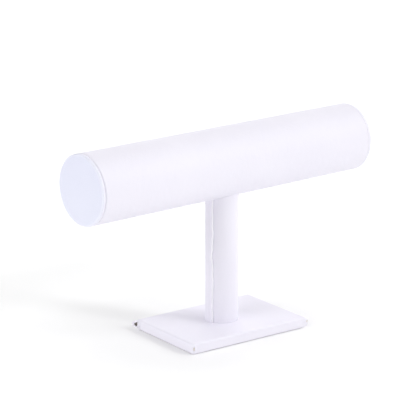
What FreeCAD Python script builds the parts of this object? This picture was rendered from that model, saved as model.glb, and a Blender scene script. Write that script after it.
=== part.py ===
# A T-bar display stand, covered in white leatherette.
#
# A cardboard tube lies level on a round wooden post, and the post stands on a flat board. Each of
# them is wrapped in its own sheet of leatherette: the tube's and the post's sheets close in a lap
# seam, the board's sheet folds under it, and a covered disc closes each end of the tube. A long
# bolt goes up through board and post into a nut in a wooden block inside the tube.
#
# Millimetres, +Z up, +X along the tube. The origin is the middle of the underside, on the table.

import FreeCAD, Part
import math
import os

Vector = FreeCAD.Vector
ORIGIN = Vector(0, 0, 0)
X_AXIS = Vector(1, 0, 0)
Z_AXIS = Vector(0, 0, 1)
FULL_TURN = 360.0
TOUCH = 1e-6  # two places nearer than this are one

# Leatherette: one thickness everywhere, and how a lap seam lies
WRAP = 0.7
SEAM_LIFT = 0.25  # gap under the free cut edge of a lap
SEAM_LIFT_DEPTH = 1.2  # how far that gap reaches in under the lap
SEAM_RAMP = 2.5  # length over which the upper ply climbs on to the lower one

# Bar: the level tube across the top
BAR_LENGTH = 250.0  # over both end caps
BAR_RADIUS = 25.0  # over the wrap
BAR_HEIGHT = 125.0  # its axis above the table
TUBE_WALL = 2.3
BAR_FOLD = 0.5  # bevel where the wrap turns in over the tube's rim
BAR_TURN_IN = 12.0  # wrap glued inside the mouth
BAR_NOTCHES = 6  # cuts that let the turned-in wrap lie flat
BAR_NOTCH_ANGLE = 6.0  # degrees
BAR_LAP = 9.0  # low down at the back
BAR_LAP_CLEARANCE = 4.0  # round the bar, from the post's top to where the lap starts to climb

# End caps: a covered disc on each end, with a plug that finds the tube's mouth
CAP_BOARD = 1.5
CAP_EASE_WIDTH = 1.4  # wide, low bevel round the disc's face; the wrap follows it
CAP_EASE_DEPTH = 0.65
CAP_TURN_IN = 6.0
CAP_NOTCHES = 6
CAP_NOTCH_ANGLE = 6.0  # degrees
PLUG_DEPTH = 6.0
PLUG_CLEARANCE = 0.2

# Post
POST_RADIUS = 12.0  # over the wrap
POST_SEAM_ANGLE = 197.0  # degrees from +X towards +Y: on the left, a little to the front
POST_LAP = 7.0

# Base
BASE_LENGTH = 101.0  # over the wrap, as is the width
BASE_WIDTH = 69.0
BASE_TURN = -4.0  # degrees about the bolt: the base stands a little askew under the bar
BASE_BOARD = 6.0
BOARD_EASE = 0.6  # bevel on the board's upper rim; the wrap follows it
BOARD_CORNER = 1.0  # radius of the board's upright corners
BASE_TURN_IN = 14.0
MITRE_GAP = 0.6  # between two turned-in flaps at a corner
LINING = 0.6  # felt sheet glued under the turned-in wrap
LINING_INSET = 1.0
LINING_CORNER = 3.0

# Open folds at the base's corners. Each: the way it faces in degrees from +X towards +Y, the wrap
# left whole above it, the height and width of its hole, and how much of the board's corner is cut
# away behind it.
CORNER_FOLDS = [
    (173, 1.3, 3.0, 2.4, 4.5),
    (239, 2.1, 3.3, 1.2, 0.8),
    (292, 1.8, 1.6, 1.5, 1.6),
    (41, 2.0, 3.0, 1.0, 1.6),
]
FOLD_SLIT = 0.3  # between the two flaps below a hole

# Through bolt, tee nut and the block inside the tube
BOLT_RADIUS = 2.5
BOLT_PLAY = 0.25  # round the bolt wherever it passes through
BOLT_HEAD_RADIUS = 4.6
BOLT_PAST_NUT = 2.0
BOLT_TIP_CHAMFER = 0.8
RECESS_DEPTH = 1.6  # cross recess in the bolt's head
RECESS_LENGTH = 5.0
RECESS_WIDTH = 1.1
BLOCK_LENGTH = 40.0
BLOCK_HEIGHT = 12.0
NUT_FLANGE_RADIUS = 8.0
NUT_FLANGE = 1.2
NUT_BARREL_WALL = 1.1
NUT_BARREL_LENGTH = 8.0
NUT_PRONGS = 3
PRONG_LENGTH = 5.0
PRONG_WIDTH = 2.4
PRONG_INSET = 1.4  # from the flange's rim

# Places that follow from the sizes above
CAP_BEVEL = math.degrees(math.atan2(CAP_EASE_DEPTH, CAP_EASE_WIDTH))  # its fall from the disc's face
BOARD_BEVEL = FULL_TURN / 8  # as wide as it is deep
BAR_AXIS = Vector(0, 0, BAR_HEIGHT)
CAP_THICKNESS = CAP_BOARD + 2 * WRAP
SLEEVE_END = BAR_LENGTH / 2 - CAP_THICKNESS
TUBE_END = SLEEVE_END - WRAP
TUBE_OUTER = BAR_RADIUS - WRAP
TUBE_INNER = TUBE_OUTER - TUBE_WALL
MOUTH_RADIUS = TUBE_INNER - WRAP
BASE_CORNER = BOARD_CORNER + WRAP
BOARD_BOTTOM = LINING + WRAP
BOARD_TOP = BOARD_BOTTOM + BASE_BOARD
BASE_TOP = BOARD_TOP + WRAP
BLOCK_TOP = BAR_HEIGHT - TUBE_INNER + BLOCK_HEIGHT
BOLT_HOLE_RADIUS = BOLT_RADIUS + BOLT_PLAY
BOLT_TIP = BLOCK_TOP + NUT_FLANGE + BOLT_PAST_NUT


class Outline:
    """A closed outline in the XY plane, drawn with a pen that starts at x, y."""

    def __init__(self, x, y):
        self.start = Vector(x, y, 0)
        self.pen = self.start
        self.edges = []

    def line(self, x, y):
        end = Vector(x, y, 0)
        self.edges.append(Part.makeLine(self.pen, end))
        self.pen = end
        return self

    def arc(self, middle_x, middle_y, x, y):
        end = Vector(x, y, 0)
        self.edges.append(Part.Arc(self.pen, Vector(middle_x, middle_y, 0), end).toShape())
        self.pen = end
        return self

    def face(self):
        if (self.pen - self.start).Length > TOUCH:
            self.line(self.start.x, self.start.y)
        return Part.Face(Part.Wire(self.edges))


def polar(radius, degrees):
    turn = math.radians(degrees)
    return radius * math.cos(turn), radius * math.sin(turn)


def arc_degrees(length, radius):
    return math.degrees(length / radius)


def bend_outset(degrees):
    """How far on the wrap's outside bends than its inside, so that it keeps its thickness."""
    return WRAP * math.tan(math.radians(degrees / 2))


def turned(shape, axis, degrees):
    copy = shape.copy()
    copy.rotate(ORIGIN, axis, degrees)
    return copy


def axes_round(shape):
    """Takes +Z to +X, +X to +Y and +Y to +Z: what was built upright lies along the bar."""
    return turned(shape, Vector(1, 1, 1), FULL_TURN / 3)


def cylinder_along_x(radius, start, end):
    return Part.makeCylinder(radius, end - start, Vector(start, 0, 0), X_AXIS)


def revolve_about_x(face):
    return face.revolve(ORIGIN, X_AXIS, FULL_TURN)


def raise_to_bar(shape):
    return shape.translated(BAR_AXIS)


def bolt_hole(bottom, top, radius=BOLT_HOLE_RADIUS):
    return Part.makeCylinder(radius, top - bottom, Vector(0, 0, bottom))


def notch_cutters(count, angle, radius, start, end):
    """Narrow sectors about the X axis, evenly spaced, that cut notches in a turned-in edge."""
    tip = Outline(0, 0).line(*polar(radius, -angle / 2))
    tip.arc(*polar(radius, 0), *polar(radius, angle / 2))
    cutter = axes_round(tip.face().extrude(Vector(0, 0, end - start)))
    cutter.translate(Vector(start, 0, 0))
    return [turned(cutter, X_AXIS, FULL_TURN * step / count) for step in range(count)]


def lap_strip(radius, seam_angle, lap, length):
    """The upper ply of a lap seam, along +Z on a sleeve of this outer radius.

    It climbs on to the sleeve over a short ramp and ends in a cut edge at the seam's angle, a
    little lifted. Its foot reaches half way into the sleeve, so that the two become one sheet.
    """
    foot = radius - WRAP / 2
    crown = radius + WRAP
    lap_start = seam_angle - arc_degrees(lap, radius)
    ramp_start = lap_start - arc_degrees(SEAM_RAMP, radius)
    lift_start = seam_angle - arc_degrees(SEAM_LIFT_DEPTH, radius)
    ply = Outline(*polar(radius, ramp_start))
    ply.line(*polar(crown, lap_start))
    ply.arc(*polar(crown, seam_angle - arc_degrees(lap, radius) / 2), *polar(crown, seam_angle))
    ply.line(*polar(radius + SEAM_LIFT, seam_angle))
    ply.line(*polar(radius, lift_start))
    ply.line(*polar(foot, lift_start))
    ply.arc(*polar(foot, (lift_start + ramp_start) / 2), *polar(foot, ramp_start))
    return ply.face().extrude(Vector(0, 0, length))


def bar_seam_angle():
    """Degrees from the back towards the top to the lap's cut edge."""
    post_side = FULL_TURN * 3 / 4 + math.degrees(math.asin(POST_RADIUS / BAR_RADIUS))
    return post_side + arc_degrees(BAR_LAP_CLEARANCE + SEAM_RAMP + BAR_LAP, BAR_RADIUS)


def make_bar_tube():
    """Cardboard tube, with a hole for the bolt in its lowest line."""
    tube = cylinder_along_x(TUBE_OUTER, -TUBE_END, TUBE_END)
    tube = tube.cut(cylinder_along_x(TUBE_INNER, -TUBE_END, TUBE_END))
    return raise_to_bar(tube).cut(bolt_hole(BAR_HEIGHT - BAR_RADIUS, BAR_HEIGHT))


def make_bar_wrap():
    """Leatherette sleeve: round the tube, over both rims and notched where it turns inside."""
    turn_in = SLEEVE_END - BAR_TURN_IN
    straight = SLEEVE_END - BAR_FOLD
    rim = [
        (straight, BAR_RADIUS),
        (SLEEVE_END, BAR_RADIUS - BAR_FOLD),
        (SLEEVE_END, MOUTH_RADIUS),
        (turn_in, MOUTH_RADIUS),
        (turn_in, TUBE_INNER),
        (TUBE_END, TUBE_INNER),
        (TUBE_END, TUBE_OUTER),
    ]
    half = Outline(*rim[0])
    for x, radius in rim[1:]:
        half.line(x, radius)
    for x, radius in reversed(rim):
        half.line(-x, radius)
    sleeve = revolve_about_x(half.face())
    lap = axes_round(lap_strip(BAR_RADIUS, bar_seam_angle(), BAR_LAP, 2 * straight))
    sleeve = sleeve.fuse(lap.translated(Vector(-straight, 0, 0))).removeSplitter()
    tube_middle = (TUBE_INNER + TUBE_OUTER) / 2
    for side in (-1, 1):
        start, end = sorted((side * turn_in, side * TUBE_END))
        notches = notch_cutters(BAR_NOTCHES, BAR_NOTCH_ANGLE, tube_middle, start, end)
        sleeve = sleeve.cut(notches)
    return raise_to_bar(sleeve).cut(bolt_hole(BAR_HEIGHT - BAR_RADIUS, BAR_HEIGHT))


def at_end(shape, side):
    """Places a cap piece, built on the right-hand end, on the left (-1) or right (1) one."""
    placed = shape if side > 0 else shape.mirror(ORIGIN, X_AXIS)
    return raise_to_bar(placed)


def make_cap_board(side):
    """Greyboard disc with its outer edge bevelled."""
    back = SLEEVE_END + WRAP
    front = back + CAP_BOARD
    half = Outline(back, 0).line(back, TUBE_OUTER).line(front - CAP_EASE_DEPTH, TUBE_OUTER)
    half.line(front, TUBE_OUTER - CAP_EASE_WIDTH).line(front, 0)
    return at_end(revolve_about_x(half.face()), side)


def make_cap_wrap(side):
    """Leatherette over the disc's face, bevel and edge, notched and turned in behind it."""
    back = SLEEVE_END + WRAP
    board_front = back + CAP_BOARD
    front = board_front + WRAP
    ring = TUBE_OUTER - CAP_TURN_IN
    bend = board_front - CAP_EASE_DEPTH
    rim = TUBE_OUTER - CAP_EASE_WIDTH
    half = Outline(front, 0).line(front, rim + bend_outset(CAP_BEVEL))
    half.line(bend + bend_outset(FULL_TURN / 4 - CAP_BEVEL), BAR_RADIUS)
    half.line(SLEEVE_END, BAR_RADIUS).line(SLEEVE_END, ring).line(back, ring)
    half.line(back, TUBE_OUTER).line(bend, TUBE_OUTER).line(board_front, rim)
    half.line(board_front, 0)
    wrap = revolve_about_x(half.face())
    notches = notch_cutters(CAP_NOTCHES, CAP_NOTCH_ANGLE, TUBE_OUTER, SLEEVE_END, back)
    return at_end(wrap.cut(notches), side)


def make_cap_plug(side):
    """Board plug glued behind the disc, which finds the tube's mouth."""
    radius = MOUTH_RADIUS - PLUG_CLEARANCE
    return at_end(cylinder_along_x(radius, SLEEVE_END - PLUG_DEPTH, SLEEVE_END), side)


def bar_saddle():
    """The space that the wrapped bar takes from the post's top."""
    return raise_to_bar(cylinder_along_x(BAR_RADIUS, -BAR_LENGTH / 2, BAR_LENGTH / 2))


def make_post_core():
    """Bored dowel whose top is cut to the bar's round."""
    core = Part.makeCylinder(POST_RADIUS - WRAP, BAR_HEIGHT - BASE_TOP, Vector(0, 0, BASE_TOP))
    return core.cut([bar_saddle(), bolt_hole(BASE_TOP, BAR_HEIGHT)])


def make_post_wrap():
    """Leatherette sleeve on the dowel, closed by a lap seam whose cut edge shows."""
    height = BAR_HEIGHT - BASE_TOP
    sleeve = Part.makeCylinder(POST_RADIUS, height)
    sleeve = sleeve.cut(Part.makeCylinder(POST_RADIUS - WRAP, height))
    sleeve = sleeve.fuse(lap_strip(POST_RADIUS, POST_SEAM_ANGLE, POST_LAP, height)).removeSplitter()
    return sleeve.translated(Vector(0, 0, BASE_TOP)).cut(bar_saddle())


def slab(length, width, bottom, top, corner):
    """A flat block about the Z axis with rounded corners."""
    block = Part.makeBox(length, width, top - bottom, Vector(-length / 2, -width / 2, bottom))
    return block.makeFillet(corner, [edge for edge in block.Edges if edge.BoundBox.ZLength > TOUCH])


def upper_rim(block):
    top = block.BoundBox.ZMax
    return [edge for edge in block.Edges if edge.BoundBox.ZMin > top - TOUCH]


def turn_base(shape):
    """Turns a piece of the base, built square to the bar, to the way the base stands."""
    return turned(shape, Z_AXIS, BASE_TURN)


def board_slab():
    """The board before its corners are cut off: the room inside the wrap."""
    length = BASE_LENGTH - 2 * WRAP
    width = BASE_WIDTH - 2 * WRAP
    block = slab(length, width, BOARD_BOTTOM, BOARD_TOP, BOARD_CORNER)
    return block.makeChamfer(BOARD_EASE, upper_rim(block))


def at_corner(shape, facing, inset=0.0, diagonal=False):
    """Moves a shape that faces +X to the base's corner on that side, and turns it.

    It comes to lie inset from both sides of the corner. It faces along the corner's diagonal, or
    in the direction given.
    """
    side_x = math.copysign(1, math.cos(math.radians(facing)))
    side_y = math.copysign(1, math.sin(math.radians(facing)))
    turn = math.degrees(math.atan2(side_y, side_x)) if diagonal else facing
    out_x = side_x * (BASE_LENGTH / 2 - inset)
    out_y = side_y * (BASE_WIDTH / 2 - inset)
    return turned(shape, Z_AXIS, turn).translated(Vector(out_x, out_y, 0))


def bolt_head():
    depth = BOLT_HEAD_RADIUS - BOLT_RADIUS
    return Part.makeCone(BOLT_HEAD_RADIUS, BOLT_RADIUS, depth, Vector(0, 0, BOARD_BOTTOM))


def make_base_board():
    """Fibreboard with its corners cut off and a countersunk hole for the bolt."""
    board = board_slab()
    for facing, *_, cut_off in CORNER_FOLDS:
        depth = (cut_off + 2 * WRAP) / math.sqrt(2)
        cutter = Part.makeBox(depth, 2 * depth, BASE_BOARD, Vector(-depth, -depth, BOARD_BOTTOM))
        board = board.cut(at_corner(cutter, facing, diagonal=True))
    return turn_base(board.cut([bolt_hole(BOARD_BOTTOM, BOARD_TOP), bolt_head()]))


def fold_opening(whole, height, width):
    """Cutter, facing +X, for a fold where two flaps gape: a hole and the slit below it."""
    top = BASE_TOP - whole
    foot = top - height
    middle = (top + foot) / 2
    hole = Outline(0, top).line(width / 2, middle).line(FOLD_SLIT / 2, foot).line(FOLD_SLIT / 2, LINING)
    hole.line(-FOLD_SLIT / 2, LINING).line(-FOLD_SLIT / 2, foot).line(-width / 2, middle)
    return axes_round(hole.face().extrude(Vector(0, 0, 2 * BASE_CORNER)))


def make_base_wrap():
    """Leatherette over the board: open folds at its corners, four mitred flaps underneath."""
    wrap = slab(BASE_LENGTH, BASE_WIDTH, LINING, BASE_TOP, BASE_CORNER)
    wrap = wrap.makeChamfer(BOARD_EASE + WRAP - bend_outset(BOARD_BEVEL), upper_rim(wrap))
    open_length = BASE_LENGTH - 2 * BASE_TURN_IN
    open_width = BASE_WIDTH - 2 * BASE_TURN_IN
    low_corner = Vector(-open_length / 2, -open_width / 2, LINING)
    window = Part.makeBox(open_length, open_width, WRAP, low_corner)
    wrap = wrap.cut([board_slab(), window, bolt_hole(BOARD_TOP, BASE_TOP)])
    reach = BASE_TURN_IN * math.sqrt(2) + MITRE_GAP
    mitre = Part.makeBox(reach, MITRE_GAP, WRAP, Vector(-reach, -MITRE_GAP / 2, LINING))
    for facing, whole, height, width, _ in CORNER_FOLDS:
        wrap = wrap.cut(at_corner(mitre, facing, diagonal=True))
        wrap = wrap.cut(at_corner(fold_opening(whole, height, width), facing, inset=BASE_CORNER))
    return turn_base(wrap)


def make_base_lining():
    """Felt sheet that hides the turned-in flaps and the bolt's head."""
    length = BASE_LENGTH - 2 * LINING_INSET
    width = BASE_WIDTH - 2 * LINING_INSET
    return turn_base(slab(length, width, 0, LINING, LINING_CORNER))


def make_through_bolt():
    """Countersunk bolt from the board's underside to the nut, with a cross recess."""
    shank = Outline(0, BOARD_BOTTOM).line(BOLT_HEAD_RADIUS, BOARD_BOTTOM)
    shank.line(BOLT_RADIUS, BOARD_BOTTOM + BOLT_HEAD_RADIUS - BOLT_RADIUS)
    shank.line(BOLT_RADIUS, BOLT_TIP - BOLT_TIP_CHAMFER)
    shank.line(BOLT_RADIUS - BOLT_TIP_CHAMFER, BOLT_TIP).line(0, BOLT_TIP)
    bolt = turned(shank.face().revolve(ORIGIN, Vector(0, 1, 0), FULL_TURN), X_AXIS, FULL_TURN / 4)
    slot = Part.makeBox(
        RECESS_LENGTH,
        RECESS_WIDTH,
        RECESS_DEPTH,
        Vector(-RECESS_LENGTH / 2, -RECESS_WIDTH / 2, BOARD_BOTTOM),
    )
    return bolt.cut([slot, turned(slot, Z_AXIS, FULL_TURN / 4)])


def make_tee_nut():
    """Flanged nut on the block: a round barrel and three prongs bent down from the rim."""
    barrel_radius = BOLT_RADIUS + NUT_BARREL_WALL
    nut = Part.makeCylinder(NUT_FLANGE_RADIUS, NUT_FLANGE, Vector(0, 0, BLOCK_TOP))
    nut = nut.fuse(
        Part.makeCylinder(barrel_radius, NUT_BARREL_LENGTH, Vector(0, 0, BLOCK_TOP - NUT_BARREL_LENGTH))
    )
    rim = NUT_FLANGE_RADIUS - PRONG_INSET
    half = PRONG_WIDTH / 2
    spike = Outline(-half, 0).line(half, 0).line(0, -PRONG_LENGTH).face()
    spike = turned(spike.extrude(Vector(0, 0, NUT_FLANGE)), X_AXIS, FULL_TURN / 4)
    spike.translate(Vector(0, rim, BLOCK_TOP))
    for step in range(NUT_PRONGS):
        nut = nut.fuse(turned(spike, Z_AXIS, FULL_TURN * step / NUT_PRONGS))
    bore = bolt_hole(BLOCK_TOP - NUT_BARREL_LENGTH, BOLT_TIP, BOLT_RADIUS)
    return nut.cut(bore).removeSplitter()


def make_bar_block():
    """Wooden block that lies in the tube's round and takes the nut."""
    floor = BAR_HEIGHT - TUBE_INNER
    block = raise_to_bar(cylinder_along_x(TUBE_INNER, -BLOCK_LENGTH / 2, BLOCK_LENGTH / 2))
    room = Part.makeBox(
        BLOCK_LENGTH,
        2 * TUBE_INNER,
        BLOCK_HEIGHT,
        Vector(-BLOCK_LENGTH / 2, -TUBE_INNER, floor),
    )
    block = block.common(room)
    return block.cut([bolt_hole(floor, BLOCK_TOP), make_tee_nut()])


PIECES = {
    "base_board": make_base_board,
    "base_wrap": make_base_wrap,
    "base_lining": make_base_lining,
    "post_core": make_post_core,
    "post_wrap": make_post_wrap,
    "bar_tube": make_bar_tube,
    "bar_wrap": make_bar_wrap,
    "bar_block": make_bar_block,
    "through_bolt": make_through_bolt,
    "tee_nut": make_tee_nut,
}
CAP_PIECES = {"cap_board": make_cap_board, "cap_wrap": make_cap_wrap, "cap_plug": make_cap_plug}

os.makedirs("parts", exist_ok=True)
solids = {name: make() for name, make in PIECES.items()}
for side, word in ((-1, "left"), (1, "right")):
    for name, make in CAP_PIECES.items():
        solids[f"{word}_{name}"] = make(side)
for name, solid in solids.items():
    solid.exportStep(f"parts/{name}.step")
    print(f"{name}: {len(solid.Solids)} solid, {solid.Volume / 1000:.2f} cm3, valid {solid.isValid()}")
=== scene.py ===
import math
from typing import NamedTuple

import bmesh
import bpy
from mathutils import Matrix, Vector, noise


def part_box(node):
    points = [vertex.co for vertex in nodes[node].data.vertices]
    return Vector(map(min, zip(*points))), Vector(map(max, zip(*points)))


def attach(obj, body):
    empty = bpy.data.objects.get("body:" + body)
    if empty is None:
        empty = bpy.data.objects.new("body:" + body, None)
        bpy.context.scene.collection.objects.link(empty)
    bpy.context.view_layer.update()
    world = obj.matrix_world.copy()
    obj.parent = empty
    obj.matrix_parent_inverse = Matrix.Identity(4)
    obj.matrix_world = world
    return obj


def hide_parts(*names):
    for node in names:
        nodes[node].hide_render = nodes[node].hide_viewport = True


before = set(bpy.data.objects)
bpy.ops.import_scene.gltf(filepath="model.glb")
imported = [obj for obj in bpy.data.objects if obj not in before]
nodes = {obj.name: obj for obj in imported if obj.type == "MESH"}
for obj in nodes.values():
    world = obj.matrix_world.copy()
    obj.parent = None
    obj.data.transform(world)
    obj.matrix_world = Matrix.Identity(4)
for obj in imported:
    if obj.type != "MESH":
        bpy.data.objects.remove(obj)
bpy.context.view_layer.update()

# Base board: a flat piece of fibreboard, its corners sawn off, drilled and countersunk for the bolt.
# It is left raw, because its cover hides nearly all of it.
FIBRE_PALE = (0.50, 0.36, 0.23, 1)
FIBRE_DARK = (0.30, 0.20, 0.12, 1)


def surface(name, colour, roughness, **sockets):
    """A new material, its node tree and main shader, and the place on the piece in metres."""
    material = bpy.data.materials.new(name)
    material.use_nodes = True
    tree = material.node_tree
    shader = tree.nodes["Principled BSDF"]
    shader.inputs["Base Color"].default_value = (*colour[:3], 1)
    shader.inputs["Roughness"].default_value = roughness
    for socket, value in sockets.items():
        shader.inputs[socket.replace("_", " ")].default_value = value
    place = tree.nodes.new("ShaderNodeTexCoord").outputs["Object"]
    return material, tree, shader, place


def put(tree, kind, inputs, **settings):
    """Adds one node, with its settings, and with values or links for its inputs."""
    node = tree.nodes.new(kind)
    for name, value in settings.items():
        setattr(node, name, value)
    for key, value in inputs.items():
        if isinstance(value, bpy.types.NodeSocket):
            tree.links.new(value, node.inputs[key])
        else:
            node.inputs[key].default_value = value
    return node


def mottle(tree, place, scale, detail=3.0, stretch=(1, 1, 1)):
    """Soft random patches, so many to the metre, drawn out along an axis by a small stretch."""
    drawn = put(tree, "ShaderNodeMapping", {"Vector": place, "Scale": stretch})
    patches = {"Vector": drawn.outputs[0], "Scale": scale, "Detail": detail}
    return put(tree, "ShaderNodeTexNoise", patches).outputs["Fac"]


def between(tree, share, low, high):
    """A number that goes from low to high as the share, mostly between 0.3 and 0.7, rises."""
    ends = {"Value": share, "From Min": 0.3, "From Max": 0.7, "To Min": low, "To Max": high}
    return put(tree, "ShaderNodeMapRange", ends).outputs[0]


def tint(tree, share, low, high):
    """A colour between two, by the same rule."""
    spread = between(tree, share, 0.0, 1.0)
    mix = put(tree, "ShaderNodeMix", {"Factor": spread}, data_type="RGBA")
    mix.inputs["A"].default_value = low
    mix.inputs["B"].default_value = high
    return mix.outputs["Result"]


def relief(tree, shader, height, depth, below=None):
    """Raises and sinks the surface by up to this depth, in metres, over any relief below it."""
    inputs = {"Height": height, "Distance": depth, "Strength": 1.0}
    if below is not None:
        inputs["Normal"] = below
    bump = put(tree, "ShaderNodeBump", inputs)
    tree.links.new(bump.outputs[0], shader.inputs["Normal"])
    return bump.outputs[0]


def dress(node_name, material):
    """Gives a piece of the frame its finish."""
    piece = nodes[node_name]
    piece.data.materials.clear()
    piece.data.materials.append(material)


def fibreboard_material():
    material, tree, shader, place = surface("fibreboard", FIBRE_PALE, 0.85)
    fibres = mottle(tree, place, 900, 6, (1, 1, 4))
    tree.links.new(tint(tree, fibres, FIBRE_DARK, FIBRE_PALE), shader.inputs["Base Color"])
    relief(tree, shader, fibres, 0.00015)
    return material


dress("base_board", fibreboard_material())

# Base cover: one sheet of white leatherette, glued over the board and folded round its edges. At
# each corner two flaps meet in a fold that gapes a little, and underneath they are mitred.
COVER = 0.0007  # thickness of the leatherette
BASE_TURN = math.radians(-4)  # the base stands a little askew under the bar
BASE_CORNER = 0.0017  # radius of the upright corners
BASE_RIM = 0.0012  # how round the upper edge is
BASE_HEM = 0.0006  # how round the lower one is
BASE_TURN_IN = 0.014  # width of the flaps glued underneath
MITRE_GAP = 0.0006
BOLT_HOLE = 0.00275  # its radius
FOLD_CRACK = MITRE_GAP / 12  # half of the crack that is left below a fold's hole
CRACK_EASE = 0.0004  # height over which the hole narrows down to it
TOP_LUMPS = (45, 0.00012)  # so many to the metre, and how deep
SIDE_LUMPS = (60, 0.00016)
WHITE_PALE = (0.883, 0.863, 0.943, 1)
WHITE_DIM = (0.860, 0.841, 0.926, 1)
CUT_WHITE = (0.96, 0.95, 1.0)
BACKING_CREAM = (0.90, 0.84, 0.79)
RIM_EASE = 0.0018  # height over which a sheet that stands off comes in again at the rim
PULL_REACH = 0.0016  # width of a sheet's end that is pulled off the board
PULL_SPREAD = 1.2  # that width grows by so many times the pull
BEND_REACH = 0.0020  # width of the strip that bends round to the other sheet
TUCK_DEPTH = 0.00030  # how far behind the hole the tucked flap lies
TUCK_MARGIN = 0.0006  # how much wider than the hole it is
TUCK_OVERLAP = 0.0008  # how far it goes on above and below the hole
TUCK_CELLS = 6  # each way, in its mesh
CORNERS = ((1, 1), (-1, 1), (-1, -1), (1, -1))  # right or left, and back or front


class Fold(NamedTuple):
    """An open fold at a corner. Pairs say how far to the right and how far to the back."""

    facing: float  # degrees from the right towards the back
    top: float  # of its hole, as are the foot, the width and the lean
    foot: float
    width: float
    lean: float
    before: tuple  # how far the sheet that ends here stands off the board
    after: tuple  # how far the sheet that starts here does
    gape: tuple  # how much further off the first sheet's edge stays in the hole's middle
    ease: float  # height over which the sheets come in again at the foot
    tucked: bool  # whether a tucked flap is seen in the hole


FOLDS = [
    Fold(
        facing=41, top=0.0060, foot=0.0030, width=0.0009, lean=0.0,
        before=(0.0003, 0.0002), after=(0.0002, 0.0002), gape=(0, 0), ease=0.0034, tucked=True,
    ),
    Fold(
        facing=180, top=0.0065, foot=0.0032, width=0.0014, lean=0.0008,
        before=(-0.0060, 0.0014), after=(-0.0016, 0.0001), gape=(-0.0018, 0.0008), ease=0.0034, tucked=False,
    ),
    Fold(
        facing=239, top=0.0058, foot=0.0026, width=0.0011, lean=0.0,
        before=(-0.0002, -0.0002), after=(0.0, -0.0005), gape=(-0.0002, 0.0003), ease=0.0034, tucked=True,
    ),
    Fold(
        facing=292, top=0.0062, foot=0.0044, width=0.0011, lean=0.0,
        before=(0.0005, -0.0003), after=(0.0020, -0.0010), gape=(-0.0005, 0.0002), ease=0.0016, tucked=True,
    ),
]
base_low, base_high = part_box("base_wrap")
unturned = Matrix.Rotation(-BASE_TURN, 3, "Z")
square = [unturned @ vertex.co for vertex in nodes["base_wrap"].data.vertices]
BASE_HALF_X = max(point.x for point in square)
BASE_HALF_Y = max(point.y for point in square)
BASE_FOOT = base_low.z
BASE_TOP = base_high.z


def leatherette_material(name, pale, dim):
    """Smooth white leathercloth: a fine pressed grain, a little uneven in tone and gloss."""
    material, tree, shader, place = surface(name, pale, 0.5, Specular_IOR_Level=0.35)
    clouds = mottle(tree, place, 28, 4)
    tree.links.new(tint(tree, clouds, dim, pale), shader.inputs["Base Color"])
    wear = mottle(tree, place, 160, 5)
    tree.links.new(between(tree, wear, 0.48, 0.60), shader.inputs["Roughness"])
    cells = {"Vector": place, "Scale": 1300.0, "Randomness": 1.0}
    grain = put(tree, "ShaderNodeTexVoronoi", cells, feature="SMOOTH_F1").outputs["Distance"]
    pressed = relief(tree, shader, grain, 0.00006)
    creases = mottle(tree, place, 240, 3)
    relief(tree, shader, creases, 0.00010, pressed)
    return material, tree, shader, place


def cut_edge_material():
    """The raw edge of the sheet, where the white coating and the cloth under it are cut."""
    material, tree, shader, place = surface("cut_edge", CUT_WHITE, 0.7)
    threads = mottle(tree, place, 3000, 2)
    relief(tree, shader, threads, 0.00005)
    tree.links.new(between(tree, threads, 0.6, 0.8), shader.inputs["Roughness"])
    return material


def backing_material():
    """The woven cloth behind the coating, stained with glue."""
    material, tree, shader, place = surface("backing", BACKING_CREAM, 0.9)
    weave = put(tree, "ShaderNodeTexChecker", {"Vector": place, "Scale": 2500.0}).outputs["Fac"]
    relief(tree, shader, weave, 0.00004)
    glue = mottle(tree, place, 300, 3)
    dim = tuple(0.85 * part for part in BACKING_CREAM)
    tree.links.new(tint(tree, glue, (*dim, 1), (*BACKING_CREAM, 1)), shader.inputs["Base Color"])
    return material


LEATHERETTE = [
    leatherette_material("leatherette", WHITE_PALE, WHITE_DIM)[0],
    backing_material(),
    cut_edge_material(),
]
COATED, BACKING, CUT_EDGE = range(3)  # the places of these finishes in the list
WORN_EDGE = 0.00015
QUARTER_TURN = math.radians(90)


def smooth_step(share):
    held = min(max(share, 0.0), 1.0)
    return held * held * (3 - 2 * held)


def uneven(point, scale, depth, seed=0.0):
    """How far a hand-glued sheet lies off its true place here: soft lumps, so many to the unit."""
    return depth * noise.noise(point * scale + Vector((seed, seed, seed)))


def glued_sheet(name, points, faces, node_name, kinds=None, materials=LEATHERETTE):
    """A cover made from its outer skin: given its thickness inwards and its edges softened.

    A face's kind is the finish that it shows, and without kinds all of the skin is coated.
    """
    mesh = bpy.data.meshes.new(name)
    mesh.from_pydata(points, [], faces)
    if kinds:
        mesh.polygons.foreach_set("material_index", kinds)
    skin = bmesh.new()
    skin.from_mesh(mesh)
    bmesh.ops.remove_doubles(skin, verts=skin.verts, dist=1e-7)
    bmesh.ops.dissolve_degenerate(skin, edges=skin.edges, dist=1e-7)
    for face in skin.faces:
        face.smooth = True
    skin.to_mesh(mesh)
    skin.free()
    piece = bpy.data.objects.new(name, mesh)
    bpy.context.scene.collection.objects.link(piece)
    for material in materials:
        mesh.materials.append(material)
    body = piece.modifiers.new("thickness", "SOLIDIFY")
    body.thickness = COVER
    body.offset = -1
    body.use_even_offset = True
    body.thickness_clamp = 1.0
    body.material_offset = BACKING
    body.material_offset_rim = CUT_EDGE
    soften = piece.modifiers.new("soft_edges", "BEVEL")
    soften.width = WORN_EDGE
    soften.segments = 2
    soften.limit_method = "ANGLE"
    soften.angle_limit = math.radians(50)
    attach(piece, "root")
    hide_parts(node_name)
    return piece


def grid_faces(rows, columns, first=0):
    """Four-sided faces of a grid of points given row by row."""
    made = []
    for row in range(rows - 1):
        for column in range(columns - 1):
            corner = first + row * columns + column
            made.append((corner, corner + 1, corner + columns + 1, corner + columns))
    return made


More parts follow.
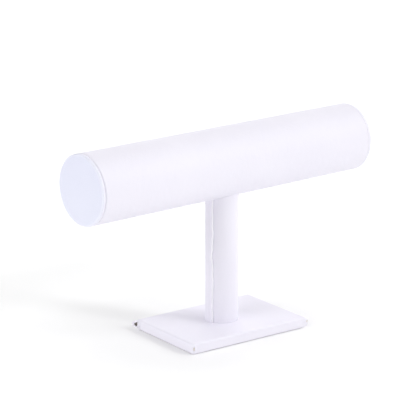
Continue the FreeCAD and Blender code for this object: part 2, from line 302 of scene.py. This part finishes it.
def graded(length, finest=0.00016, growth=1.22, coarsest=0.006):
    """Stations from 0 to a length, close together at both ends."""
    half = [0.0]
    step = finest
    while half[-1] + step < length / 2:
        half.append(half[-1] + step)
        step = min(step * growth, coarsest)
    return half + [length - station for station in reversed(half)]


def quarter_round(steps):
    """Angles from 0 to a quarter turn, in so many steps."""
    return [QUARTER_TURN * step / steps for step in range(steps + 1)]


def corner_point(number, inset, height=0.0):
    """The point this far inside both sides of a corner of the base."""
    right, back = CORNERS[number]
    return Vector((right * (BASE_HALF_X - inset), back * (BASE_HALF_Y - inset), height))


def fold_side(number):
    """The side after this corner's fold: its length round the corner, straight, and round the next."""
    start = FOLDS[number].facing
    end = FOLDS[(number + 1) % 4].facing
    arc_end = 90 * (number + 1)
    first_arc = math.radians(arc_end - start) * BASE_CORNER
    last_arc = math.radians((end - arc_end) % 360) * BASE_CORNER
    half = BASE_HALF_Y if number % 2 else BASE_HALF_X
    return first_arc, 2 * (half - BASE_CORNER), last_arc


def on_outline(number, along):
    """Point and outward direction on the base's outline, this far on from the corner's fold."""
    first_arc, run, _ = fold_side(number)
    turn = math.radians(90 * number) + QUARTER_TURN
    slid = 0.0
    centre = corner_point(number, BASE_CORNER)
    if along < first_arc:
        turn -= (first_arc - along) / BASE_CORNER
    elif along < first_arc + run:
        slid = along - first_arc
    else:
        past = along - first_arc - run
        turned = min(past / BASE_CORNER, QUARTER_TURN)
        slid = past - turned * BASE_CORNER
        turn += turned
        centre = corner_point((number + 1) % 4, BASE_CORNER)
    out = Vector((math.cos(turn), math.sin(turn), 0))
    forward = Vector((-out.y, out.x, 0))
    return centre + out * BASE_CORNER + forward * slid, out


def fold_openness(fold, height):
    """How open a fold is at a height: 0 above and below its hole, 1 in the hole's middle."""
    share = (fold.top - height) / (fold.top - fold.foot)
    return math.sqrt(math.sin(math.pi * share)) if 0 < share < 1 else 0.0


def fold_gap(fold, height):
    """Half of a fold's opening at a height, and how far its middle leans over there."""
    crack = FOLD_CRACK * smooth_step((fold.foot - height) / CRACK_EASE)
    lean = fold.lean * (height - (fold.top + fold.foot) / 2) / (fold.top - fold.foot)
    return fold.width / 2 * fold_openness(fold, height) + crack, lean if height > fold.foot else 0.0


def upright_share(fold, height):
    """1 along most of the side's height, falling to 0 at the rim and at the foot."""
    return smooth_step((BASE_TOP - height) / RIM_EASE) * smooth_step((height - BASE_FOOT) / fold.ease)


def fold_pull(fold, own, height, away):
    """How far one of a fold's sheets stands off at a height, this far from the fold."""
    pull = Vector(own)
    reach = PULL_REACH + PULL_SPREAD * pull.length
    return pull.to_3d() * upright_share(fold, height) * smooth_step(1 - away / reach)


def fold_bend(fold, height, away):
    """How far the sheet before the hole bends round, this far from its edge."""
    bend = Vector(fold.after) - Vector(fold.before) + Vector(fold.gape) * fold_openness(fold, height)
    return bend.to_3d() * upright_share(fold, height) * smooth_step(1 - away / BEND_REACH)


def tuck(number):
    """The tucked end of the flap behind a corner's hole, its backing outwards."""
    fold = FOLDS[number]
    half = fold.width / 2 + Vector(fold.gape).length + TUCK_MARGIN
    closed = fold._replace(gape=(0, 0))
    points = []
    for row in range(TUCK_CELLS + 1):
        drop = (fold.top - fold.foot + 2 * TUCK_OVERLAP) * row / TUCK_CELLS
        height = fold.top + TUCK_OVERLAP - drop
        for column in range(TUCK_CELLS + 1):
            offset = half * (2 * column / TUCK_CELLS - 1)
            before = (number - 1) % 4
            spot = (number, offset) if offset >= 0 else (before, sum(fold_side(before)) + offset)
            point, out = on_outline(*spot)
            if offset >= 0:
                pull = fold_pull(fold, fold.after, height, offset)
            else:
                pull = fold_pull(fold, fold.before, height, -offset) + fold_bend(closed, height, -offset)
            point = point - out * TUCK_DEPTH + pull
            point.z = height
            points.append(point)
    return points


def base_cover_rows():
    """Each row of the skin, from the bolt's hole to the flaps' ends: where it is, inset, height.

    On the top, the inset is a share of the way from the hole to the rim.
    """
    rows = [("top", share, BASE_TOP) for share in (0.0, 0.08, 0.2, 0.35, 0.5, 0.65, 0.8, 0.9, 0.96)]
    for turn in quarter_round(6):
        inset = BASE_RIM * (1 - math.sin(turn))
        rows.append(("side", inset, BASE_TOP - BASE_RIM * (1 - math.cos(turn))))
    upper = BASE_TOP - BASE_RIM
    lower = BASE_FOOT + BASE_HEM
    for step in range(1, 12):
        rows.append(("side", 0.0, upper + (lower - upper) * step / 12))
    for turn in quarter_round(5):
        inset = BASE_HEM * (1 - math.cos(turn))
        rows.append(("side", inset, lower - BASE_HEM * math.sin(turn)))
    for inset in (0.0022, 0.004, 0.007, 0.0105, BASE_TURN_IN):
        rows.append(("flap", inset, BASE_FOOT))
    return rows


def base_cover_point(number, along, length, kind, inset, height):
    """One point of the skin, on the side after a corner's fold."""
    share = along / length
    after = (number + 1) % 4
    if kind == "flap":
        here = corner_point(number, inset, height)
        there = corner_point(after, inset, height)
        mitre = (there - here).normalized() * (MITRE_GAP / math.sqrt(2))
        return (here + mitre).lerp(there - mitre, share)
    fold, next_fold = FOLDS[number], FOLDS[after]
    gap, lean = fold_gap(fold, height) if kind == "side" else (0.0, 0.0)
    next_gap, next_lean = fold_gap(next_fold, height) if kind == "side" else (0.0, 0.0)
    start = gap + lean
    end = length - next_gap + next_lean
    point, out = on_outline(number, start + (end - start) * share)
    if kind == "top":
        rim = point - out * BASE_RIM
        hole = Vector((rim.x, rim.y, 0)).normalized() * BOLT_HOLE
        point = hole.lerp(rim, inset)
        held = smooth_step(inset * 3) * smooth_step((1 - inset) * 12)  # flat at the post and the rim
        point.z = height + uneven(point, *TOP_LUMPS) * held
        return point
    point = point - out * inset
    to_next = (end - start) * (1 - share)
    point += fold_pull(fold, fold.after, height, (end - start) * share)
    point += fold_pull(next_fold, next_fold.before, height, to_next) + fold_bend(next_fold, height, to_next)
    point.z = height
    wave = uneven(point, *SIDE_LUMPS, seed=3.0) * smooth_step((BASE_TOP - height) / 0.003)
    return point - out * abs(wave)


def base_cover():
    points = []
    faces = []
    rows = base_cover_rows()
    turned = Matrix.Rotation(BASE_TURN, 3, "Z")
    for number in range(4):
        length = sum(fold_side(number))
        stations = graded(length)
        first = len(points)
        for kind, inset, height in rows:
            for along in stations:
                points.append(turned @ base_cover_point(number, along, length, kind, inset, height))
        faces += [face[::-1] for face in grid_faces(len(rows), len(stations), first)]
    kinds = [COATED] * len(faces)
    for number, fold in enumerate(FOLDS):
        if fold.tucked:
            first = len(points)
            points += [turned @ point for point in tuck(number)]
            faces += [face[::-1] for face in grid_faces(TUCK_CELLS + 1, TUCK_CELLS + 1, first)]
    kinds += [BACKING] * (len(faces) - len(kinds))
    return glued_sheet("base_cover", points, faces, "base_wrap", kinds)


base_cover()

# Lining: a rectangle of pressed felt with rounded corners, a little smaller than the base. It is
# glued underneath to hide the turned-in flaps and the bolt's head.
FELT_PALE = (0.74, 0.72, 0.76, 1)
FELT_DIM = (0.62, 0.60, 0.65, 1)


def felt_material():
    material, tree, shader, place = surface("felt", FELT_PALE, 0.95)
    shader.inputs["Sheen Weight"].default_value = 0.4
    shader.inputs["Sheen Roughness"].default_value = 0.6
    fibres = mottle(tree, place, 2200, 6)
    tree.links.new(tint(tree, fibres, FELT_DIM, FELT_PALE), shader.inputs["Base Color"])
    relief(tree, shader, fibres, 0.00025)
    return material


dress("base_lining", felt_material())

# Post: a round softwood dowel, cut square at the foot and bored from end to end for the bolt, which
# holds it. Its top is scooped out to seat the bar.
WOOD_PALE = (0.72, 0.52, 0.32, 1)
WOOD_DARK = (0.52, 0.34, 0.18, 1)


def wood_material(name, stretch):
    """Pale wood whose grain runs along the axis with the small stretch."""
    material, tree, shader, place = surface(name, WOOD_PALE, 0.6)
    grain = mottle(tree, place, 420, 5, stretch)
    tree.links.new(tint(tree, grain, WOOD_DARK, WOOD_PALE), shader.inputs["Base Color"])
    tree.links.new(between(tree, grain, 0.5, 0.7), shader.inputs["Roughness"])
    relief(tree, shader, grain, 0.00008)
    return material


dress("post_core", wood_material("dowel_wood", (1, 1, 0.06)))

# Post cover: a strip of leatherette wrapped round the dowel and glued over itself. The lap shows on
# the left: its raw edge is not quite straight, stands a little proud and catches the light.
POST_SEAM = math.radians(197)  # from the right towards the back
POST_LAP = 0.007
LAP_RAMP = 0.0025  # length over which the upper ply climbs on to the lower one
LAP_LIFT = 0.00060  # how far the raw edge stands off, with glue under it
LIFT_REACH = 0.0016  # width of the strip along the raw edge that stands off
EDGE_DROPS = (0.3, 0.6, 0.8)  # rows of the raw edge, as shares of the way down to the lower ply
EDGE_SLOPE = 0.00064  # how far the raw edge would slant outwards on that way
WANDER_REACH = 0.004  # width of the strip that strays with the raw edge
POST_ROWS = 80
POST_LUMPS = (1.3, 0.00008)  # so many to the post's radius, and how deep
post_low, post_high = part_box("post_core")
cap_low, cap_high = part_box("left_cap_wrap")
POST_RADIUS = (post_high.x - post_low.x) / 2 + COVER
BAR_RADIUS = (cap_high.y - cap_low.y) / 2
BAR_AXIS = (cap_low.z + cap_high.z) / 2


def lap_stations(seam, lap, radius, step):
    """Angles round a lapped sleeve: from the hidden edge under the lap, once round, to the raw edge."""
    hidden = seam - lap / radius
    ramp = hidden - LAP_RAMP / radius + 2 * math.pi
    crown = hidden + 2 * math.pi
    edge = seam + 2 * math.pi
    lift = edge - LIFT_REACH / radius
    runs = [(hidden, ramp, step), (ramp, crown, step / 5), (crown, lift, step / 2), (lift, edge, step / 10)]
    stations = []
    for start, end, stride in runs:
        count = max(2, round((end - start) / stride))
        stations += [start + (end - start) * share / count for share in range(count)]
    return stations + [edge]


def lap_height(angle, seam, lap, radius, lift):
    """How far the sheet stands off the sleeve's round at an angle: the climb, then the lifted edge."""
    crown = seam + 2 * math.pi - lap / radius
    climb = smooth_step(1 + (angle - crown) * radius / LAP_RAMP)
    to_edge = (seam + 2 * math.pi - angle) * radius
    return COVER * climb + lift * smooth_step(1 - to_edge / LIFT_REACH)


def post_edge_wander(height):
    """How far the raw edge strays to the right, in metres: a slow wave and one nick."""
    wave = 0.00022 * math.sin(height * 190) + 0.00012 * math.sin(height * 520 + 1)
    nick = -0.0005 * math.exp(-(((height - 0.058) / 0.0035) ** 2))
    return wave + nick


def post_cover():
    stations = lap_stations(POST_SEAM, POST_LAP, POST_RADIUS, math.radians(5))
    columns = [(angle, 0.0) for angle in stations] + [(stations[-1], drop) for drop in EDGE_DROPS]
    points = []
    for row in range(POST_ROWS):
        share = row / (POST_ROWS - 1)
        for angle, drop in columns:
            rough = Vector((math.cos(angle), math.sin(angle), share * 3))
            height = BASE_TOP + share * (BAR_AXIS - BAR_RADIUS - BASE_TOP)
            lift = LAP_LIFT * (1 + 0.3 * math.sin(height * 90 + 2) + 0.3 * smooth_step(1 - share * 2))
            off = lap_height(angle, POST_SEAM, POST_LAP, POST_RADIUS, lift)
            reach = POST_RADIUS + off * (1 - drop) + uneven(rough, *POST_LUMPS, seed=7.0)
            near_edge = smooth_step(1 - (stations[-1] - angle) * POST_RADIUS / WANDER_REACH)
            turn = angle + (post_edge_wander(height) * near_edge + EDGE_SLOPE * drop) / POST_RADIUS
            place = Vector((reach * math.cos(turn), reach * math.sin(turn), 0))
            seat = BAR_AXIS - math.sqrt(BAR_RADIUS**2 - place.y**2)
            place.z = BASE_TOP + share * (seat - BASE_TOP)
            points.append(place)
    faces = grid_faces(POST_ROWS, len(columns))
    kinds = ([COATED] * (len(stations) - 1) + [CUT_EDGE] * len(EDGE_DROPS)) * (POST_ROWS - 1)
    return glued_sheet("post_cover", points, faces, "post_wrap", kinds)


post_cover()

# Bar: a tube wound from brown cardboard, cut square at both ends and drilled in its lowest line for
# the bolt, which clamps it down on the post.
CARD_PALE = (0.50, 0.38, 0.25, 1)
CARD_DARK = (0.38, 0.28, 0.18, 1)


def cardboard_material():
    """Brown board, its fibres drawn out along the tube."""
    material, tree, shader, place = surface("cardboard", CARD_PALE, 0.85)
    fibres = mottle(tree, place, 700, 5, (0.3, 1, 1))
    tree.links.new(tint(tree, fibres, CARD_DARK, CARD_PALE), shader.inputs["Base Color"])
    relief(tree, shader, fibres, 0.00008)
    return material


dress("bar_tube", cardboard_material())

# Bar cover: a sheet of leatherette wrapped round the tube and lapped low down at the back. It is
# turned in over both rims and glued inside the mouths.
BAR_SEAM = math.radians(334)  # from the back towards the top
BAR_LAP = 0.009
BAR_LIFT = 0.0002  # its raw edge is glued down better than the post's
BAR_FOLDS = (0.0013, 0.0005)  # how round the folds over the left and the right rim are
MOUTH_FOLD = 0.0006
BAR_TURN_IN = 0.012
BAR_ROWS = 30  # on half of the bar's straight length
RIM_REACH = 0.004  # towards the rims the lap runs out over this length
BAR_LUMPS = (1.1, 0.00010)  # so many to the bar's radius, and how deep
PLUG_CLEARANCE = 0.0002
SLEEVE_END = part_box("bar_wrap")[1].x
MOUTH_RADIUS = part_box("left_cap_plug")[1].y + PLUG_CLEARANCE


def bar_cover_rows(fold):
    """Half of the sleeve's section, from the bar's middle out: place, radius, how far the lap ran out."""
    rows = []
    straight = SLEEVE_END - fold
    for step in range(BAR_ROWS + 1):
        place = straight * step / BAR_ROWS
        rows.append((place, BAR_RADIUS, smooth_step(1 - (straight - place) / RIM_REACH)))
    for turn in quarter_round(5)[1:]:
        away = fold * (1 - math.cos(turn))
        rows.append((straight + fold * math.sin(turn), BAR_RADIUS - away, 1.0))
    rows.append((SLEEVE_END, (BAR_RADIUS + MOUTH_RADIUS) / 2, 1.0))
    for turn in quarter_round(3):
        away = MOUTH_FOLD * (1 - math.sin(turn))
        rows.append((SLEEVE_END - MOUTH_FOLD * (1 - math.cos(turn)), MOUTH_RADIUS + away, 1.0))
    for share in (0.3, 0.6, 1.0):
        rows.append((SLEEVE_END - BAR_TURN_IN * share, MOUTH_RADIUS, 1.0))
    return rows


def bar_cover():
    stations = lap_stations(BAR_SEAM, BAR_LAP, BAR_RADIUS, math.radians(2.5))
    left, right = (bar_cover_rows(fold) for fold in BAR_FOLDS)
    rows = [(-place, radius, ending) for place, radius, ending in reversed(left[1:])] + right
    points = []
    whole = stations[-1] - stations[0]
    for place, radius, ending in rows:
        for angle in stations:
            met = stations[-1] - (stations[-1] - angle) * 2 * math.pi / whole
            turn = angle + (met - angle) * ending
            off = lap_height(angle, BAR_SEAM, BAR_LAP, BAR_RADIUS, BAR_LIFT) * (1 - ending)
            rough = Vector((place * 30, math.cos(turn), math.sin(turn)))
            reach = radius + off - abs(uneven(rough, *BAR_LUMPS, seed=11.0)) * (1 - ending)
            points.append(Vector((place, reach * math.cos(turn), BAR_AXIS + reach * math.sin(turn))))
    faces = grid_faces(len(rows), len(stations))
    return glued_sheet("bar_cover", points, faces, "bar_wrap")


bar_cover()

# End caps: a greyboard disc and a plug of the same board behind it, which is pushed into the tube's
# mouth and glued.
GREY_PALE = (0.40, 0.38, 0.35, 1)
GREY_DARK = (0.28, 0.265, 0.245, 1)


def greyboard_material():
    material, tree, shader, place = surface("greyboard", GREY_PALE, 0.9)
    pulp = mottle(tree, place, 1100, 6)
    tree.links.new(tint(tree, pulp, GREY_DARK, GREY_PALE), shader.inputs["Base Color"])
    relief(tree, shader, pulp, 0.00010)
    return material


greyboard = greyboard_material()
for side in ("left", "right"):
    dress(f"{side}_cap_board", greyboard)
    dress(f"{side}_cap_plug", greyboard)

# Cap covers: a round of the same white leatherette, stretched over each disc; on the disc's face its colour
# is darker and bluer, which is painted shade with a painted cool light. Its edge is drawn in behind in small
# pleats and glued, which leaves a soft shoulder round the disc.
# Painted shade: the disc's face is coloured darker and bluer than the bar, as if shaded under a cool light.
CAP_SHADED_PALE = (0.778, 0.792, 0.914, 1)
CAP_SHADED_DIM = (0.758, 0.772, 0.899, 1)
CAP_RIM_HIGHLIGHT = (0.855, 0.860, 0.970, 1)  # painted highlight on the shoulder round the disc
SHOULDER_WIDTH = 0.0021
SHOULDER_DEPTH = 0.0012
CAP_BACK_EDGES = {"left": 0.0013, "right": 0.0004}  # how round the edge behind each disc is
CAP_TURN_IN = 0.006
SHADE_TO_HIGHLIGHT_START = 0.0020  # the painted shade begins to give way to the painted highlight this far in from the rim
SHADE_TO_HIGHLIGHT_END = 0.0004
WHITE_DEPTH = 1.6 * SHOULDER_DEPTH  # behind this the disc's side has no painted shade or highlight and is as white as the bar
PLEATS = 34
PLEAT_DEPTH = 0.00010
PLEAT_COLUMNS = 6  # in the mesh of one pleat
CAP_LUMPS = (90, 0.00006)  # so many to the metre, and how deep


def cap_leatherette_material():
    """The same leathercloth, darker and bluer on the disc's face as painted shade, with a painted highlight
    over the shoulder and white on the disc's side.
    """
    material, tree, shader, place = leatherette_material("cap_leatherette", CAP_SHADED_PALE, CAP_SHADED_DIM)
    lowered = put(tree, "ShaderNodeVectorMath", {0: place, 1: (0, 0, -BAR_AXIS)}, operation="ADD")
    across = put(tree, "ShaderNodeVectorMath", {0: lowered.outputs[0], 1: (0, 1, 1)}, operation="MULTIPLY")
    length = put(tree, "ShaderNodeVectorMath", {0: across.outputs[0]}, operation="LENGTH")
    radius = length.outputs["Value"]
    outward = put(tree, "ShaderNodeVectorMath", {0: place}, operation="ABSOLUTE")
    axial = put(tree, "ShaderNodeSeparateXYZ", {0: outward.outputs[0]}).outputs["X"]
    # Painted light: the face's painted shade turns into a painted highlight over the shoulder, then into
    # plain white on the disc's side.
    painted_fades = (
        (radius, BAR_RADIUS - SHADE_TO_HIGHLIGHT_START, BAR_RADIUS - SHADE_TO_HIGHLIGHT_END, CAP_RIM_HIGHLIGHT),
        (axial, -cap_low.x - SHOULDER_DEPTH, -cap_low.x - WHITE_DEPTH, WHITE_PALE),
    )
    tone = shader.inputs["Base Color"].links[0].from_socket
    for measure, start, end, colour in painted_fades:
        ends = {"Value": measure, "From Min": start, "From Max": end}
        share = put(tree, "ShaderNodeMapRange", ends, interpolation_type="SMOOTHSTEP").outputs[0]
        mix = put(tree, "ShaderNodeMix", {"Factor": share, "B": colour}, data_type="RGBA")
        tree.links.new(tone, mix.inputs["A"])
        tone = mix.outputs["Result"]
    tree.links.new(tone, shader.inputs["Base Color"])
    return material


CAP_LEATHERETTE = [cap_leatherette_material(), *LEATHERETTE[1:]]


def cap_cover_rows(thickness, edge):
    """The cover's section, from the disc's middle out and round behind it: depth, radius, pleating."""
    rows = [(0.0, radius * 0.001, 0.0) for radius in (0.4, 3, 6, 9, 12, 15, 18, 20, 21.3)]
    flat = BAR_RADIUS - SHOULDER_WIDTH
    for turn in quarter_round(8):
        depth = SHOULDER_DEPTH * (1 - math.cos(turn))
        rows.append((depth, flat + SHOULDER_WIDTH * math.sin(turn), smooth_step(turn / QUARTER_TURN)))
    back = thickness - edge
    for turn in quarter_round(4):
        radius = BAR_RADIUS - edge * (1 - math.cos(turn))
        rows.append((back + edge * math.sin(turn), radius, 1.0))
    for share in (0.5, 1.0):
        rows.append((thickness, BAR_RADIUS - COVER - CAP_TURN_IN * share, 0.0))
    return rows


def cap_cover(side, sign):
    low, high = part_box(f"{side}_cap_wrap")
    front = high.x if sign > 0 else -low.x
    rows = cap_cover_rows(high.x - low.x, CAP_BACK_EDGES[side])
    column_count = PLEATS * PLEAT_COLUMNS
    points = []
    for depth, radius, pleated in rows:
        for column in range(column_count + 1):
            turn = 2 * math.pi * (column % column_count) / column_count
            wobble = noise.noise(Vector((math.cos(turn) * 4, math.sin(turn) * 4, sign)))
            pleat = abs(math.sin(turn * PLEATS / 2 + 2.5 * wobble)) ** 0.6
            reach = radius - PLEAT_DEPTH * pleated * (1 - pleat) * (1 + 2 * abs(wobble))
            swell = Vector((math.cos(turn) * reach, math.sin(turn) * reach, sign))
            inward = abs(uneven(swell, *CAP_LUMPS)) * (1 - pleated)
            place = sign * (front - depth - inward)
            points.append(Vector((place, reach * math.cos(turn), BAR_AXIS + reach * math.sin(turn))))
    faces = grid_faces(len(rows), column_count + 1)
    faces.append(tuple(range(column_count)))
    if sign > 0:
        faces = [face[::-1] for face in faces[:-1]] + [faces[-1]]
    else:
        faces[-1] = faces[-1][::-1]
    return glued_sheet(f"{side}_cap_cover", points, faces, f"{side}_cap_wrap", None, CAP_LEATHERETTE)


cap_cover("left", -1)
cap_cover("right", 1)

# Fastening: a long countersunk bolt goes up through base and post to a tee nut, which is pressed
# into a wooden block inside the tube. The bolt and the nut are zinc plated.
ZINC = (0.62, 0.63, 0.66)


def zinc_material():
    """Plated steel, its gloss clouded in small spots."""
    material, tree, shader, place = surface("plated_steel", ZINC, 0.35, Metallic=1.0)
    spots = mottle(tree, place, 800, 4)
    tree.links.new(between(tree, spots, 0.25, 0.45), shader.inputs["Roughness"])
    relief(tree, shader, spots, 0.00002)
    return material


dress("bar_block", wood_material("block_wood", (0.06, 1, 1)))
zinc = zinc_material()
dress("through_bolt", zinc)
dress("tee_nut", zinc)

# Table: a plain white sheet, not part of the stand. It also glows, a painted light that is less and less
# towards the stand, so that it goes pure white at a distance and still takes soft shadows.
TABLE_HALF = 6.0
TABLE_WHITE = (0.97, 0.97, 0.97)
PAINTED_GLOW = 0.138  # the painted glow where it is full
GLOW_CENTRE = (-0.02, 0, 0)
GLOW_START = 0.05  # how far from its centre it begins
GLOW_FULL = 0.15


def table_material():
    material, tree, shader, place = surface("table_white", TABLE_WHITE, 0.9)
    # Painted light: the sheet's own glow, weaker towards the stand, leaves painted shade round it.
    away = put(tree, "ShaderNodeVectorMath", {0: place, 1: GLOW_CENTRE}, operation="DISTANCE")
    ends = {"Value": away.outputs["Value"], "From Min": GLOW_START, "From Max": GLOW_FULL, "To Max": PAINTED_GLOW}
    glow = put(tree, "ShaderNodeMapRange", ends, interpolation_type="SMOOTHSTEP").outputs[0]
    shader.inputs["Emission Color"].default_value = (1, 1, 1, 1)
    tree.links.new(glow, shader.inputs["Emission Strength"])
    return material


def table():
    mesh = bpy.data.meshes.new("table")
    corners = [(right * TABLE_HALF, back * TABLE_HALF, 0) for right, back in CORNERS]
    mesh.from_pydata(corners, [], [(0, 1, 2, 3)])
    mesh.materials.append(table_material())
    piece = bpy.data.objects.new("table", mesh)
    bpy.context.scene.collection.objects.link(piece)


table()

# Light: soft wide lamps at the front, the back and both sides, in an evenly lit white room. The one
# in front is smaller, so the stand throws a soft shadow behind it, to the left in the picture.
ROOM = (0.360, 0.360, 0.360, 1)


def room_light():
    world = bpy.data.worlds.new("room")
    bpy.context.scene.world = world
    world.use_nodes = True
    world.node_tree.nodes["Background"].inputs["Color"].default_value = ROOM


def lamp(name, azimuth, elevation, spread, strength):
    """A far soft lamp, seen from the stand in this direction. All but its strength is in degrees."""
    light = bpy.data.lights.new(name, "SUN")
    light.angle = math.radians(spread)
    light.energy = strength
    piece = bpy.data.objects.new(name, light)
    turn, rise = math.radians(azimuth), math.radians(elevation)
    away = Vector((math.cos(turn) * math.cos(rise), math.sin(turn) * math.cos(rise), math.sin(rise)))
    piece.location = away
    piece.rotation_mode = "QUATERNION"
    piece.rotation_quaternion = away.to_track_quat("Z", "Y")
    bpy.context.scene.collection.objects.link(piece)


room_light()
lamp("front", -66, 30, 12, 0.672)
lamp("front_right", -45, 35, 30, 0.741)
lamp("right_high", 0, 40, 40, 0.503)
lamp("back_right", 45, 15, 40, 0.569)
lamp("back_left", 120, 15, 40, 0.295)
lamp("left_low", 180, 15, 40, 0.236)
lamp("left_high", 180, 35, 40, 0.955)

# Camera: where the photograph was taken from, to the front left of the stand and a little above it,
# with a long lens of about 165 mm.
CAMERA_AZIMUTH = math.radians(-40.284)  # from the front towards the right
CAMERA_ELEVATION = math.radians(15.306)
CAMERA_DISTANCE = 1.38445
CAMERA_AIM_RIGHT = -0.00992
CAMERA_AIM_UP = 0.08775
FOCAL_PIXELS = 1902.36
PHOTO_PIXELS = 416
SENSOR = 36.0


def camera():
    level = math.cos(CAMERA_ELEVATION)
    rise = math.sin(CAMERA_ELEVATION)
    back = Vector((math.sin(CAMERA_AZIMUTH) * level, -math.cos(CAMERA_AZIMUTH) * level, rise))
    right = Vector((math.cos(CAMERA_AZIMUTH), math.sin(CAMERA_AZIMUTH), 0))
    up = back.cross(right)
    lens = bpy.data.cameras.new("camera")
    lens.sensor_width = SENSOR
    lens.lens = FOCAL_PIXELS / PHOTO_PIXELS * SENSOR
    lens.clip_start = 0.05
    lens.clip_end = 50.0
    eye = bpy.data.objects.new("camera", lens)
    eye.location = right * CAMERA_AIM_RIGHT + up * CAMERA_AIM_UP + back * CAMERA_DISTANCE
    eye.rotation_mode = "QUATERNION"
    eye.rotation_quaternion = back.to_track_quat("Z", "Y")
    bpy.context.scene.collection.objects.link(eye)
    bpy.context.scene.camera = eye


camera()
bpy.context.scene.view_settings.view_transform = "Standard"
